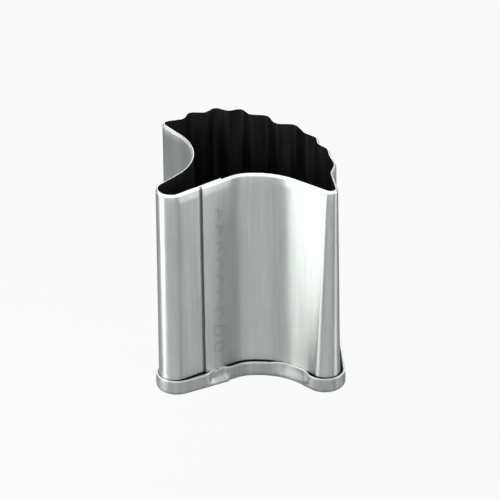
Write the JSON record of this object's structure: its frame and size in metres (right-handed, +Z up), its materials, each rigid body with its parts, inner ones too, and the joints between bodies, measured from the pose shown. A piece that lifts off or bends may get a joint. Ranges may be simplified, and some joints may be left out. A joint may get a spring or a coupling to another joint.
{
  "type": "cookie cutter",
  "caption": "Tall scalloped shell-shaped sheet steel cutter with a lapped, spot-welded wall, a ground cutting edge and a rolled U-section base band.",
  "frame": {"origin": "middle of the base band's outline in plan, on the plane that the band stands on", "axes": "+Z up, from the base band to the cutting edge; +Y towards the scalloped back; +X away from the bite"},
  "size_m": [0.0332, 0.033, 0.04],
  "materials": {
    "wall_steel": "satin rolled stainless sheet with a fine upright grain and a bright ground edge",
    "band_steel": "satin stainless strip, rolled bright over its rounded underside",
    "weld_steel": "electrode marks of spot welds, slightly dished and duller than the sheet"
  },
  "bodies": {
    "root": {"cutting_wall": "wall_steel", "seam_spot_welds": "weld_steel", "base_band": "band_steel", "band_spot_weld": "weld_steel"}
  },
  "joints": []
}
